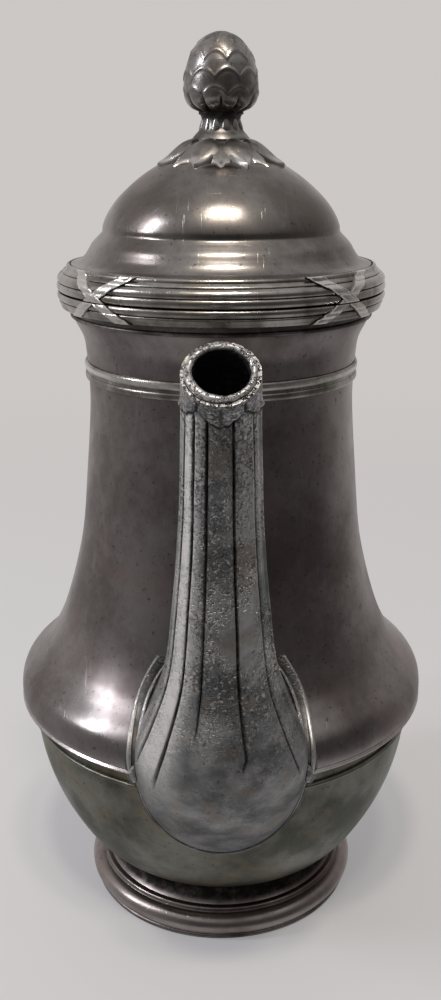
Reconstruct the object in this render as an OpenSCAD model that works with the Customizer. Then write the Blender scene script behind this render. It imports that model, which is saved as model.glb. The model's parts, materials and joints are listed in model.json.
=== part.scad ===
// Coffee pot in silver plate: two spun body shells on a spun foot, a hinged domed lid with a cast
// bud finial, a cast swan-neck spout and a cast loop handle held between insulators.
// The pot's axis is Z and its foot stands on Z = 0. The spout points along -Y, the hinge and the
// handle are at +Y. All lengths are in millimetres.

/* [Body] */
// Radius of the belly at its widest
belly_r = 58; // [57:0.25:59]
// Radius of the neck at its narrowest
neck_r = 35.7; // [35:0.1:36.5]
// Thickness of the spun sheet
sheet_t = 1.2; // [0.9:0.1:1.4]
// Radius of the holes that strain the coffee
strainer_hole_r = 1.8; // [1.2:0.1:2.2]

/* [Foot] */
// Radius of the rounded foot ring
foot_r = 39.7; // [39:0.1:40.5]

/* [Rim and lid] */
// Bulge of the reeded band beyond the wall
band_bulge = 3.5; // [3:0.1:3.9]
// Gap between the body's rim and the lid's rim
lid_gap = 0.3; // [0.2:0.05:0.4]
// Play between the lid's bezel and the mouth
bezel_play = 0.5; // [0.4:0.1:0.9]
// Height of the top of the dome
dome_top_z = 211; // [209:0.5:212]

/* [Finial] */
// Radius of the bud
bud_r = 9.4; // [8.6:0.1:10.4]
// Height of the bud's tip
finial_top_z = 240; // [238:0.5:244]

/* [Hinge] */
// Radius of the hinge pin
hinge_pin_r = 0.9; // [0.8:0.05:1]
// Running clearance of the pin in the lid's knuckle
hinge_play = 0.05; // [0.02:0.01:0.08]

/* [Spout] */
// Half-width of the spout at its mouth
spout_tip_r = 7.4; // [7:0.1:7.8]
// Thickness of the cast wall of the spout
spout_wall = 1.5; // [1.3:0.1:1.6]

/* [Handle] */
// Radius of the handle's sockets and cups
socket_r = 6.3; // [6:0.1:6.6]
// Width of the handle across the hand
handle_w = 11; // [9:0.5:12]
// Thickness of the handle along its curve's plane
handle_t = 8; // [7:0.5:8.5]

/* [Hidden] */
$fn = 96;

// Heights of the seam's wire, the belly's lip, the neck's bead and fillet, and the parting line
// between body and lid
seam_wire_z = 57;
lip_z = 62;
bead_z = 157;
fillet_z = 171;
parting_z = 177.35;
// Radius of the wall behind the seam's wire, and the wire's own radius
seam_r = 54.25;
seam_wire_r = 0.7;
// The straight rim wall that carries the band, and the band's five reeds
rim_r = 39.6;
band_z0 = 173;
band_z1 = 184;
reed_count = 5;
body_reeds = 2;
reed_h = (band_z1 - band_z0) / reed_count;
// A hair's gap that keeps soldered pieces from cutting into each other
fit = 0.05;
// Hinge pin's place behind the band, and its knuckles
knuckle_r = 2.2;
hinge_y = rim_r + band_bulge + knuckle_r + 0.35;
knuckle_end_x = 8;
knuckle_gap_x = 2.9;
lid_knuckle_x = 2.6;
// Heights of the handle's sockets, and where each socket's face stands
upper_socket_z = 143;
lower_socket_z = 72;
upper_face_y = 46;
lower_face_y = 64;
insulator_t = 3;
insulator_r = socket_r + 0.6;
tenon_r = 4;
tenon_l = 4.5;
bore_l = 5;
cup_l = 8;
handle_pin_r = 0.7;
// Tilt of the spout's mouth, measured from straight up towards -Y, and the mouth's centre
mouth_tilt = 40;
mouth_centre = [0, -89.2, 172.4];
mouth_at = [mouth_centre[1], mouth_centre[2]];
mouth_half = spout_tip_r * [cos(mouth_tilt), sin(mouth_tilt)];
mouth_way = [-sin(mouth_tilt), cos(mouth_tilt)];

// ---------- curves ----------

// Point at t between b and c on a smooth curve that also passes a and d
function between(a, b, c, d, t) =
    0.5 * (2 * b + (c - a) * t + (2 * a - 5 * b + 4 * c - d) * t * t
        + (3 * b - a - 3 * c + d) * t * t * t);

// Smooth curve through the points p, with n steps from each point to the next
function smooth(p, n) = concat(
    [for (i = [0:len(p) - 2], j = [0:n - 1])
        between(p[max(i - 1, 0)], p[i], p[i + 1], p[min(i + 2, len(p) - 1)], j / n)],
    [p[len(p) - 1]]);

// The same curve moved to its left by t
function aside(p, t) = [for (i = [0:len(p) - 1])
    let (d = p[min(i + 1, len(p) - 1)] - p[max(i - 1, 0)])
    p[i] + t / norm(d) * [-d[1], d[0]]];

function backwards(p) = [for (i = [len(p) - 1:-1:0]) p[i]];

// A spun shell whose outer face is the curve p, given as [radius, height]
module spun(p, t) {
    rotate_extrude() polygon(concat(p, backwards(aside(p, t))));
}

// A closed skin over a row of rings, given as one list of points with so many sides to a ring
module skin(points, sides) {
    last = len(points) / sides - 1;
    polyhedron(points, concat(
        [[for (k = [0:sides - 1]) k]],
        [for (i = [0:last - 1], k = [0:sides - 1])
            let (a = i * sides + k, b = i * sides + (k + 1) % sides)
            [a, a + sides, b + sides, b]],
        [[for (k = [sides - 1:-1:0]) last * sides + k]]));
}

// A half-round wire soldered round the pot at radius r and height z
module half_round_wire(r, z, half_h, proud) {
    rotate_extrude() translate([r, z]) intersection() {
        scale([proud / half_h, 1]) circle(half_h);
        translate([0, -half_h]) square([proud, 2 * half_h]);
    }
}

// Points of the bowl's outer face, of the belly and neck, and of the flare under the band
bowl_points = [[28, 13.6], [36, 16], [40.7, 20], [44.8, 26], [48.9, 34], [51.8, 42], [53.6, 50],
    [54.2, seam_wire_z]];
belly_points = [[57.5, lip_z + 1], [belly_r, 65.5], [belly_r - 0.5, 69], [55.8, 72], [51.7, 76],
    [48.6, 80], [44.9, 88], [41.3, 100], [38.8, 112], [neck_r + 1.5, 128], [neck_r + 0.2, 144],
    [neck_r, 152]];
flare_points = [[neck_r + 0.5, 161], [36.9, 165.5], [39, 170], [rim_r, 173.5]];

function bowl_curve() = concat([[0, 13.6]], smooth(bowl_points, 3), [[54.2, lip_z + 2]]);

function body_curve() = concat([[57, lip_z], [57.3, lip_z + 0.4]],
    smooth(concat(belly_points, flare_points), 3), [[rim_r, parting_z - lid_gap / 2]]);

// The body below the flare as one closed lump, grown by g, for trimming what is soldered to it
module body_lump(g) {
    skin = concat(smooth(bowl_points, 3), [[55, 58], [57, lip_z]], smooth(belly_points, 3));
    wire_reach = seam_wire_r + g;
    rotate_extrude() {
        polygon(concat([[0, 13]], aside(skin, -g), [[0, 152]]));
        translate([50, seam_wire_z - wire_reach])
            square([seam_r + wire_reach - 50, 2 * wire_reach]);
    }
}

// ---------- foot ----------

module foot_ring() {
    color("dimgray") rotate_extrude() difference() {
        union() {
            translate([foot_r - 3, 4.4]) circle(3);
            polygon(concat([[foot_r - 5.4, 1.7], [foot_r - 3, 1.7], [foot_r - 3, 7.2]],
                smooth([[foot_r - 4, 7.6], [foot_r - 5.6, 8.2], [33.2, 10.2], [32.6, 12.4],
                    [33.9, 14.9]], 3), [[32.7, 14.4]],
                smooth([[31.4, 12.4], [32, 9.6], [foot_r - 6.8, 7], [foot_r - 6.6, 4]], 3)));
        }
        translate([foot_r - 8, -1]) square([9, 2.7]);
    }
}

module foot_wire() {
    color("dimgray") rotate_extrude() polygon([[foot_r - 5.4, 0], [foot_r - 1.3, 0],
        [foot_r - 1.1, 0.6], [foot_r - 1.6, 1.3], [foot_r - 2.6, 1.65], [foot_r - 5.4, 1.65]]);
}

// ---------- body ----------

// Strainer holes as rows through the front wall, fanned out by step degrees
module strainer_holes(heights, half_count) {
    step = 6.5;
    for (z = heights, i = [-half_count:half_count])
        rotate([0, 0, i * step]) translate([0, -25, z]) rotate([90, 0, 0])
            cylinder(r = strainer_hole_r, h = 45);
}

module lower_bowl() {
    color("darkslategray") difference() {
        spun(bowl_curve(), sheet_t);
        strainer_holes([50], 2);
    }
}

module seam_wire() {
    color("silver") half_round_wire(seam_r, seam_wire_z, seam_wire_r, seam_wire_r);
}

module upper_body() {
    color("gray") difference() {
        union() {
            spun(body_curve(), sheet_t);
            rotate_extrude() translate([seam_r + fit, lip_z]) square([2.7, sheet_t]);
        }
        strainer_holes([67.3, 73.3], 2);
    }
}

// A broad low round over a narrower one, joined by a thin web
module neck_bead() {
    wall_r = neck_r + 0.42;
    low_z = bead_z - 1.85;
    color("silver") {
        half_round_wire(wall_r, bead_z + 0.8, 1.1, 0.55);
        half_round_wire(wall_r, low_z, 0.9, 0.4);
        rotate_extrude() translate([wall_r, low_z]) square([0.12, 2.6]);
    }
}

module neck_fillet() {
    color("silver") half_round_wire(rim_r - 0.25, fillet_z, 0.55, 0.55);
}

// Outer radius of the band at height z: nearly upright round its middle reeds, rolled in at its top
function band_r(z) = let (u = (z - (band_z0 + band_z1) / 2 + 0.6) / reed_h)
    rim_r + band_bulge - 0.09 * pow(min(max(u, -1.75), 2.3), 4);

// Section of the reeds from a to b, from the lowest up
module reeds(a, b) {
    z0 = band_z0 + a * reed_h;
    z1 = band_z0 + (b + 1) * reed_h;
    reed_r = reed_h * 0.53;
    intersection() {
        union() {
            for (i = [a:b]) {
                z = band_z0 + (i + 0.5) * reed_h;
                translate([band_r(z) - reed_r, z]) circle(reed_r);
            }
            translate([rim_r, z0]) square([band_bulge - 2.6, z1 - z0]);
        }
        translate([rim_r + fit, z0 + 0.02]) square([band_bulge + 1, z1 - z0 - 0.04]);
    }
}

module body_rim_band() {
    color("silver") rotate_extrude() intersection() {
        reeds(0, body_reeds - 1);
        square([60, parting_z - lid_gap / 2]);
    }
}

module lid_rim_band() {
    color("silver") rotate_extrude() intersection() {
        reeds(body_reeds, reed_count - 1);
        translate([0, parting_z + lid_gap / 2]) square([60, 20]);
    }
}

// Crossed ribbons over the band between heights z0 and z1, at four places round the pot
module ribbon_ties(z0, z1) {
    tie_angle = 28;
    lean = 58;
    ribbon_w = 2.8;
    ribbon_t = 0.5;
    clear = 0.35;
    steps = 8;
    rise = [for (i = [0:steps]) z0 + (z1 - z0) * i / steps];
    for (a = [45:90:315]) rotate([0, 0, a]) intersection() {
        rotate([0, 0, -tie_angle / 2]) rotate_extrude(angle = tie_angle)
            polygon(concat([for (z = rise) [band_r(z) + clear, z]],
                backwards([for (z = rise) [band_r(z) + clear + ribbon_t, z]])));
        for (s = [-1, 1])
            translate([rim_r, 0, parting_z]) rotate([s * lean, 0, 0])
                cube([12, ribbon_w, 26], center = true);
    }
}

module body_ribbon_ties() {
    color("silver") ribbon_ties(band_z0 + 0.2, parting_z - lid_gap / 2);
}

// ---------- lid ----------

// Points of the lid's stepped shoulder and of its crown
shoulder_points = [[39.3, 184], [37.2, 184.6], [35.7, 185.9], [34.7, 187.4], [33.8, 188.9],
    [32.6, 190.2], [31.6, 191.2], [31, 192], [30.8, 193.4]];
crown_points = [[30, 195.4], [28.7, 197.6], [27, 199.8], [24.8, 202], [22, 204.4],
    [18.8, dome_top_z - 4.3], [15.2, dome_top_z - 2.4], [8, dome_top_z - 0.4], [3, dome_top_z]];
// Radius of the hole for the finial's stud
stud_hole_r = 1.6;

module lid_dome() {
    color("gray") spun(concat([[rim_r, parting_z + lid_gap / 2], [rim_r, 183.2]],
        smooth(concat(shoulder_points, crown_points), 3), [[stud_hole_r, dome_top_z]]), sheet_t);
}

module lid_ribbon_ties() {
    color("silver") ribbon_ties(parting_z + lid_gap / 2, band_z1 - 0.2);
}

// A short tube that drops into the mouth, soldered under the dome's shoulder
module lid_bezel() {
    outer = rim_r - sheet_t - bezel_play;
    bezel_t = 1;
    z0 = parting_z - 4.75;
    z1 = band_z1 + 0.22 - sheet_t;
    color("gray") rotate_extrude() translate([outer - bezel_t, z0]) square([bezel_t, z1 - z0]);
}

// ---------- rosette and finial ----------

// Sixteen leaves on a plate, each second one higher than its neighbours
module leaf_rosette() {
    leaves = 16;
    color("silver") difference() {
        union() {
            translate([0, 0, dome_top_z - 1]) cylinder(r1 = 12.5, r2 = 7.8, h = 4, $fn = 48);
            for (i = [0:leaves - 1]) rotate([0, 0, i * 360 / leaves])
                rosette_leaf(i % 2 == 0 ? 0 : 0.3);
        }
        translate([0, 0, dome_top_z - 6]) cylinder(r = stud_hole_r, h = 12, $fn = 24);
        lid_top_lump(fit);
    }
}

// One leaf along +X, raised by lift
module rosette_leaf(lift) {
    hull() {
        translate([7.6, 0, dome_top_z + 1.5 + lift]) sphere(r = 1.2, $fn = 8);
        translate([12, 0, dome_top_z + 0.4 + lift]) scale([1.2, 2, 1]) sphere(r = 1, $fn = 8);
        translate([16.8, 0, dome_top_z - 2.6 + lift]) sphere(r = 0.6, $fn = 6);
    }
}

// The dome's crown as a closed lump, for trimming the rosette
module lid_top_lump(g) {
    foot = [crown_points[0][0], 192];
    rotate_extrude($fn = 48) polygon(concat([[0, foot[1]], foot],
        aside(smooth(crown_points, 3), -g), [[0, dome_top_z + g]]));
}

module finial() {
    seat = dome_top_z + 3.15;
    bud_z = seat + 6.4;
    bud_h = finial_top_z - bud_z;
    color("silver") {
        rotate_extrude() polygon(concat([[0, seat]], smooth([[7.4, seat], [7.3, seat + 0.4],
            [6.2, seat + 1.4], [5.3, seat + 2.6], [5, seat + 3.6], [5, seat + 4.8],
            [5.6, seat + 5.6], [7.2, bud_z], [bud_r - 0.8, bud_z + bud_h * 0.12],
            [bud_r, bud_z + bud_h * 0.24], [bud_r, bud_z + bud_h * 0.36],
            [bud_r - 0.4, bud_z + bud_h * 0.5], [bud_r - 1.2, bud_z + bud_h * 0.66],
            [bud_r - 3.5, bud_z + bud_h * 0.84], [1.8, bud_z + bud_h * 0.975]], 4),
            [[0, finial_top_z]]));
        translate([0, 0, dome_top_z - 6.5]) cylinder(r = stud_hole_r - 0.1, h = 11);
    }
}

module finial_washer() {
    color("goldenrod") translate([0, 0, dome_top_z - 2.2]) difference() {
        cylinder(r = 4.2, h = 0.9);
        translate([0, 0, -1]) cylinder(r = stud_hole_r - 0.05, h = 3);
    }
}

module finial_nut() {
    color("goldenrod") translate([0, 0, dome_top_z - 4.6]) difference() {
        cylinder(r = 3.2, h = 2.3, $fn = 6);
        translate([0, 0, -1]) cylinder(r = stud_hole_r - 0.1, h = 4);
    }
}

// ---------- spout ----------

// Stations along the spout: front and rear points of each section as [y, z], its half-width, and
// how much fuller its front is than its rear
stations = [
    [[-50, 37], [-38, 98], 21, 0.25],
    [[-60, 50], [-44, 94], 21, 0.25],
    [[-68.5, 64], [-49.5, 93], 20, 0.22],
    [[-73.5, 79], [-53.5, 96], 16.8, 0.12],
    [[-77.6, 97], [-57.5, 104], 12.9, 0],
    [[-81, 115], [-61.5, 118], 10.7, 0],
    [[-84.5, 135], [-66, 138], 8.9, 0],
    [[-87.5, 153], [-70.8, 157.5], 8.1, 0],
    [[-90.6, 163], [-76.2, 169.8], 7.7, 0],
    [mouth_at - mouth_half, mouth_at + mouth_half, spout_tip_r, 0]];
spout_run = smooth(stations, 2);
beyond_mouth = [mouth_at - mouth_half + mouth_way, mouth_at + mouth_half + mouth_way,
    spout_tip_r, 0];
spout_sides = 32;

// One egg-shaped section of the spout, its wall set in by w
function spout_section(s, w) =
    let (d = s[0] - s[1], mid = (s[0] + s[1]) / 2, half = (norm(d) / 2 - w) / norm(d) * d)
    [for (k = [0:spout_sides - 1])
        let (a = k * 360 / spout_sides, q = mid + cos(a) * half)
        [(s[2] - w) * sin(a) * (1 + s[3] * cos(a)), q[0], q[1]]];

// The spout as a solid over the sections of a run, its wall set in by w
module spout_lump(run, w) {
    skin([for (s = run, q = spout_section(s, w)) q], spout_sides);
}

// One cast half of the spout, on the side s; the two are soldered along its middle
module spout_half(s) {
    intersection() {
        difference() {
            spout_lump(spout_run, 0);
            spout_lump(concat(spout_run, [beyond_mouth]), spout_wall);
            body_lump(fit);
        }
        translate([s * 30, -60, 110]) cube([60, 100, 170], center = true);
    }
}

module spout_left_half() {
    color("lightgray") spout_half(-1);
}

module spout_right_half() {
    color("lightgray") spout_half(1);
}

module spout_lip_wire() {
    color("silver") translate(mouth_centre) rotate([mouth_tilt, 0, 0])
        translate([0, 0, 0.62]) rotate_extrude()
            translate([spout_tip_r - 0.75, 0]) circle(0.55);
}

// A leaf folded over the cheek of the spout's root, on the side s
module spout_leaf(s) {
    difference() {
        hull() {
            translate([s * 17, -50, 92]) sphere(r = 1, $fn = 16);
            translate([s * 22.5, -51, 80]) sphere(r = 2.2, $fn = 16);
            translate([s * 21.5, -56, 64]) sphere(r = 3.2, $fn = 16);
            translate([s * 18, -56, 72]) sphere(r = 3, $fn = 16);
        }
        body_lump(fit);
        spout_lump(spout_run, -0.1);
    }
}

module spout_leaf_left() {
    color("silver") spout_leaf(-1);
}

module spout_leaf_right() {
    color("silver") spout_leaf(1);
}

// ---------- hinge ----------

// What the band fills, for trimming the knuckles
module inside_band() {
    rotate_extrude() translate([0, band_z0])
        square([band_r(parting_z) + fit, band_z1 - band_z0]);
}

// One knuckle from x0 to x1 with a leaf that reaches the band, above or below the parting line
module knuckle(x0, x1, leaf_z0, leaf_z1, hole_r) {
    difference() {
        union() {
            translate([x0, hinge_y, parting_z]) rotate([0, 90, 0])
                cylinder(r = knuckle_r, h = x1 - x0);
            translate([x0, rim_r + 1, leaf_z0])
                cube([x1 - x0, hinge_y - rim_r - 1, leaf_z1 - leaf_z0]);
        }
        translate([x0 - 1, hinge_y, parting_z]) rotate([0, 90, 0])
            cylinder(r = hole_r, h = x1 - x0 + 2);
    }
}

module hinge_body_knuckles() {
    low = parting_z - knuckle_r;
    high = parting_z - lid_gap / 2;
    color("silver") difference() {
        for (s = [0, 1]) mirror([s, 0, 0])
            knuckle(knuckle_gap_x, knuckle_end_x, low, high, hinge_pin_r);
        inside_band();
    }
}

module hinge_lid_knuckle() {
    low = parting_z + lid_gap / 2;
    high = parting_z + knuckle_r;
    color("silver") difference() {
        knuckle(-lid_knuckle_x, lid_knuckle_x, low, high, hinge_pin_r + hinge_play);
        inside_band();
    }
}

module hinge_pin() {
    color("gold") translate([-knuckle_end_x, hinge_y, parting_z]) rotate([0, 90, 0])
        cylinder(r = hinge_pin_r, h = 2 * knuckle_end_x);
}

// ---------- handle ----------

// A rod along +Y from y0, at height z
module rod_y(y0, z, r, l) {
    translate([0, y0, z]) rotate([-90, 0, 0]) cylinder(r = r, h = l);
}

// A cross pin's hole or pin at y and z
module cross_pin(y, z, half_l) {
    translate([-half_l, y, z]) rotate([0, 90, 0]) cylinder(r = handle_pin_r, h = 2 * half_l);
}

module socket(z, face_y) {
    difference() {
        union() {
            rod_y(30, z, socket_r, face_y - 30);
            translate([0, face_y - 1.6, z]) rotate([-90, 0, 0])
                cylinder(r = socket_r + 0.5, h = 1.6);
        }
        rod_y(face_y - bore_l, z, tenon_r, bore_l + 1);
        cross_pin(face_y - bore_l / 2, z, 10);
        body_lump(fit);
    }
}

module handle_socket_upper() {
    color("silver") socket(upper_socket_z, upper_face_y);
}

module handle_socket_lower() {
    color("silver") socket(lower_socket_z, lower_face_y);
}

module insulator(z, face_y) {
    difference() {
        union() {
            rod_y(face_y, z, insulator_r, insulator_t);
            rod_y(face_y - tenon_l, z, tenon_r - fit, 2 * tenon_l + insulator_t);
        }
        cross_pin(face_y - bore_l / 2, z, 10);
        cross_pin(face_y + insulator_t + bore_l / 2, z, 10);
    }
}

module insulator_upper() {
    color("ivory") insulator(upper_socket_z, upper_face_y);
}

module insulator_lower() {
    color("ivory") insulator(lower_socket_z, lower_face_y);
}

module cup(z, face_y) {
    y0 = face_y + insulator_t;
    difference() {
        union() {
            rod_y(y0, z, socket_r + 0.5, 1.6);
            rod_y(y0, z, socket_r - 0.6, cup_l);
        }
        rod_y(y0 - 1, z, tenon_r, bore_l + 1);
        cross_pin(y0 + bore_l / 2, z, 10);
    }
}

module handle_cup_upper() {
    color("silver") cup(upper_socket_z, upper_face_y);
}

module handle_cup_lower() {
    color("silver") cup(lower_socket_z, lower_face_y);
}

// Centre line of the grip as [y, z], from the upper cup round to the lower one
grip_y0 = upper_face_y + insulator_t + cup_l;
grip_y1 = lower_face_y + insulator_t + cup_l;
grip_line = [[grip_y0, upper_socket_z], [grip_y0 + 6, upper_socket_z + 1.2], [72, 146.5],
    [81, 144], [88, 136], [91.6, 122], [91.8, 106], [89.8, 92], [86.6, 80],
    [82, 73.6], [grip_y1, lower_socket_z]];

// The grip as one closed tube of oval section round its centre line
module grip() {
    sides = 20;
    p = smooth(grip_line, 3);
    last = len(p) - 1;
    skin([for (i = [0:last])
        let (d = p[min(i + 1, last)] - p[max(i - 1, 0)], n = [-d[1], d[0]] / norm(d))
        for (k = [0:sides - 1])
            let (a = k * 360 / sides, out = p[i] + handle_t / 2 * sin(a) * n)
            [handle_w / 2 * cos(a), out[0], out[1]]], sides);
}

module handle() {
    color("silver") grip();
}

// Midrib of the thumb leaf as [y, z, half-width]
leaf_line = [[67, 151, 1.5], [76, 151.6, 4.6], [84, 150, 3.4], [89.5, 153, 1.4]];

// The leaf is let into the top of the grip and soldered there
module handle_thumb_leaf() {
    color("silver") for (i = [0:len(leaf_line) - 2]) hull() for (p = [leaf_line[i], leaf_line[i + 1]])
        translate([0, p[0], p[1]]) scale([p[2], 1.2, 1]) sphere(1, $fn = 16);
}

module handle_pins() {
    color("silver") for (e = [[upper_socket_z, upper_face_y], [lower_socket_z, lower_face_y]]) {
        cross_pin(e[1] - bore_l / 2, e[0], socket_r);
        cross_pin(e[1] + insulator_t + bore_l / 2, e[0], socket_r - 0.6);
    }
}

foot_ring();
foot_wire();
lower_bowl();
seam_wire();
upper_body();
neck_bead();
neck_fillet();
body_rim_band();
body_ribbon_ties();
lid_dome();
lid_rim_band();
lid_ribbon_ties();
lid_bezel();
leaf_rosette();
finial();
finial_washer();
finial_nut();
spout_left_half();
spout_right_half();
spout_lip_wire();
spout_leaf_left();
spout_leaf_right();
hinge_body_knuckles();
hinge_lid_knuckle();
hinge_pin();
handle_socket_upper();
handle_socket_lower();
insulator_upper();
insulator_lower();
handle_cup_upper();
handle_cup_lower();
handle();
handle_thumb_leaf();
handle_pins();
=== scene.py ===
"""Silver coffee pot: the looks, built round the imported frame. Metres, +Z up, spout towards -Y."""
import json
from math import atan2, cos, degrees, hypot, pi, radians, sin, sqrt, tan

import bpy
from mathutils import Matrix, Vector, noise


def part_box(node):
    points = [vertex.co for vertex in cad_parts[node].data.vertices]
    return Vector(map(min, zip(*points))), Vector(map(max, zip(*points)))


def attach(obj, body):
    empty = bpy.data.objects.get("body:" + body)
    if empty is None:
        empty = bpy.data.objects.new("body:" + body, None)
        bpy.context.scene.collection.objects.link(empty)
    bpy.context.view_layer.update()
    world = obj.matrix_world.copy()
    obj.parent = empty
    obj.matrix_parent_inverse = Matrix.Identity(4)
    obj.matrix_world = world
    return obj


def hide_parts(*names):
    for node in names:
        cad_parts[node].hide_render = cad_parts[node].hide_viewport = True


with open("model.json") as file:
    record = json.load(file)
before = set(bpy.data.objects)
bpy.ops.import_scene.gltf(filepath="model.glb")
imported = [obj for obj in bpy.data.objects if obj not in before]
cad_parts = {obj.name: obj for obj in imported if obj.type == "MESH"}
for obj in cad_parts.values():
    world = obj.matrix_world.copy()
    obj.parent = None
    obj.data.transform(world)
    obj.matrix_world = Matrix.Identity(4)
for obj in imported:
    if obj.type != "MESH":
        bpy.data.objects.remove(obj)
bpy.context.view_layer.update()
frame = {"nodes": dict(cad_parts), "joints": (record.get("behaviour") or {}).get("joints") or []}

MM = 0.001
STEPS = 256

# Places read from the frame
BAND_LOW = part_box("body_rim_band")[0].z
BAND_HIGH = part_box("lid_rim_band")[1].z
PARTING = frame["joints"][0]["pos_m"][2]
HALF_GAP = (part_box("lid_rim_band")[0].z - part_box("body_rim_band")[1].z) / 2
BODY_TOP, LID_LOW = PARTING - HALF_GAP, PARTING + HALF_GAP
DOME_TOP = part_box("lid_dome")[1].z
POT_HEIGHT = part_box("finial")[1].z
RIM_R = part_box("lid_dome")[1].x
FOOT_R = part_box("foot_ring")[1].x

# The run of each outline, as (radius, height) in millimetres, from the foot up
BOWL = [(28, 13.6), (36, 16), (40.7, 20), (44.8, 26), (48.9, 34), (51.8, 42), (53.6, 50), (54.2, 57)]
BELLY = [(57.5, 63), (58, 65.5), (57.5, 69), (55.8, 72), (51.7, 76), (48.6, 80), (44.9, 88),
         (41.3, 100), (38.8, 112), (37.2, 128), (35.9, 144), (35.7, 152), (36.2, 161),
         (36.9, 165.5), (39, 170), (39.6, 173.5)]
DOME = [(39.3, 184), (37.2, 184.6), (35.7, 185.9), (34.7, 187.4), (33.8, 188.9), (32.6, 190.2),
        (31.6, 191.2), (31, 192), (30.8, 193.4), (30, 195.4), (28.7, 197.6), (27, 199.8),
        (24.8, 202), (22, 204.4), (18.8, 206.7), (15.2, 208.6), (8, 210.6), (3, 211)]
SHEET = 1.2


# ---------- curves and meshes ----------

def between(a, b, c, d, t):
    """Catmull-Rom value between b and c."""
    return 0.5 * (2 * b + (c - a) * t + (2 * a - 5 * b + 4 * c - d) * t * t
                  + (3 * b - a - 3 * c + d) * t ** 3)


def smooth(points, n):
    """A smooth curve through the points, n steps from each to the next."""
    p = [Vector(q) for q in points]
    last = len(p) - 1
    out = []
    for i in range(last):
        a, b, c, d = p[max(i - 1, 0)], p[i], p[i + 1], p[min(i + 2, last)]
        out += [between(a, b, c, d, j / n) for j in range(n)]
    return out + [p[last]]


def aside(curve, t):
    """The 2D curve moved to its left by t."""
    out = []
    for i, p in enumerate(curve):
        d = (curve[min(i + 1, len(curve) - 1)] - curve[max(i - 1, 0)]).normalized()
        out.append(Vector((p.x - t * d.y, p.y + t * d.x)))
    return out


def arc(cx, cy, r, start, end, n):
    """Points on a 2D arc, angles in degrees."""
    angles = [radians(start + (end - start) * i / n) for i in range(n + 1)]
    return [Vector((cx + r * cos(a), cy + r * sin(a))) for a in angles]


def turns(n):
    """n angles evenly round a circle."""
    return [2 * pi * k / n for k in range(n)]


def wrapped(deg):
    """The same direction between -180 and 180 degrees."""
    return (deg + 180) % 360 - 180


def value_noise(p, size, seed):
    """Smooth noise from -1 to 1, with features about size across."""
    return noise.noise(Vector(p) / size + Vector((seed, seed * 1.7, seed * 0.3)))


def step(lo, hi, x):
    """0 below lo, 1 above hi, smooth between."""
    t = min(max((x - lo) / (hi - lo), 0.0), 1.0)
    return t * t * (3 - 2 * t)


def bump_at(x, centre, width):
    """A smooth bump of height 1 at centre, 0 beyond width."""
    t = abs(x - centre) / width
    return (1 - t * t) ** 2 if t < 1 else 0.0


class Shape:
    """Vertices and faces gathered for one piece. Marks over 0 darken it, dirt and painted shade;
    under 0 they lighten it, wear and painted highlights.
    """

    def __init__(self):
        self.verts, self.faces, self.marks = [], [], []

    def point(self, p, mark):
        self.verts.append(Vector(p))
        self.marks.append(mark)
        return len(self.verts) - 1

    def grid(self, rows, loop_u=False, loop_v=False, flip=False, marks=None):
        """Adds a grid of points, optionally closed along or across, and returns its indices."""
        index = [[self.point(p, marks[i][j] if marks else 0.0) for j, p in enumerate(row)]
                 for i, row in enumerate(rows)]
        nu, nv = len(rows), len(rows[0])
        for i in range(nu if loop_u else nu - 1):
            for j in range(nv if loop_v else nv - 1):
                after, beside = index[(i + 1) % nu], (j + 1) % nv
                face = index[i][j], after[j], after[beside], index[i][beside]
                self.faces.append((face[0], *face[:0:-1]) if flip else face)
        return index

    def cap(self, ring, flip=False):
        """Closes a ring of indices with a fan round its middle."""
        mid = sum((self.verts[i] for i in ring), Vector()) / len(ring)
        c = self.point(mid, self.marks[ring[0]])
        for k, i in enumerate(ring):
            j = ring[(k + 1) % len(ring)]
            self.faces.append((c, j, i) if flip else (c, i, j))

    def bridge(self, a, b, flip=False):
        """Joins two rings of indices of the same length."""
        for k in range(len(a)):
            n = (k + 1) % len(a)
            face = a[k], a[n], b[n], b[k]
            self.faces.append(face[::-1] if flip else face)

    def slab(self, top, under, marks, flips):
        """A thin closed solid between two grids of points, the marks being the top's. flips says
        which of the top, the underside and the rim are wound the other way."""
        a, b = self.grid(top, flip=flips[0], marks=marks), self.grid(under, flip=flips[1])
        self.bridge(rim_of(a), rim_of(b), flips[2])

    def join(self, other):
        """Takes in another shape's points and faces."""
        offset = len(self.verts)
        self.verts += other.verts
        self.marks += other.marks
        self.faces += [tuple(i + offset for i in f) for f in other.faces]

    def mesh(self, name):
        """The shape as a mesh, with its marks."""
        mesh = bpy.data.meshes.new(name)
        mesh.from_pydata([v[:] for v in self.verts], [], self.faces)
        mesh.validate()
        mesh.attributes.new("mark", "FLOAT", "POINT").data.foreach_set("value", self.marks)
        return mesh


def rim_of(index):
    """The indices round the edge of a grid, in order."""
    sides = index[1:-1]
    return (index[0] + [row[-1] for row in sides] + index[-1][::-1]
            + [row[0] for row in sides[::-1]])


def put(name, data):
    """A new object in the scene."""
    obj = bpy.data.objects.new(name, data)
    bpy.context.collection.objects.link(obj)
    return obj


def piece(name, shape, slot, *nodes, body="root", sharp=35):
    """Makes one Blender piece of a shape, rides it on its body and lets it stand for CAD nodes."""
    mesh = shape.mesh(name)
    mesh.shade_smooth()
    mesh.set_sharp_from_angle(angle=radians(sharp))
    mesh.materials.append(MATERIALS[slot])
    obj = put(name, mesh)
    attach(obj, body)
    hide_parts(*nodes)
    return obj


def spun(outline, steps=STEPS, warp=None, mark=None):
    """A solid of revolution of a closed outline in millimetres. warp moves a point; mark marks
    one, given its place on the outline and its angle."""
    shape = Shape()
    rows, marks = [], []
    for p in map(Vector, outline):
        row = [Vector((p.x * cos(a), p.x * sin(a), p.y)) * MM for a in turns(steps)]
        rows.append([warp(q) if warp else q for q in row])
        marks.append([mark(p, a) if mark else 0.0 for a in turns(steps)])
    shape.grid(rows, loop_u=True, loop_v=True, marks=marks)
    return shape


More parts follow.
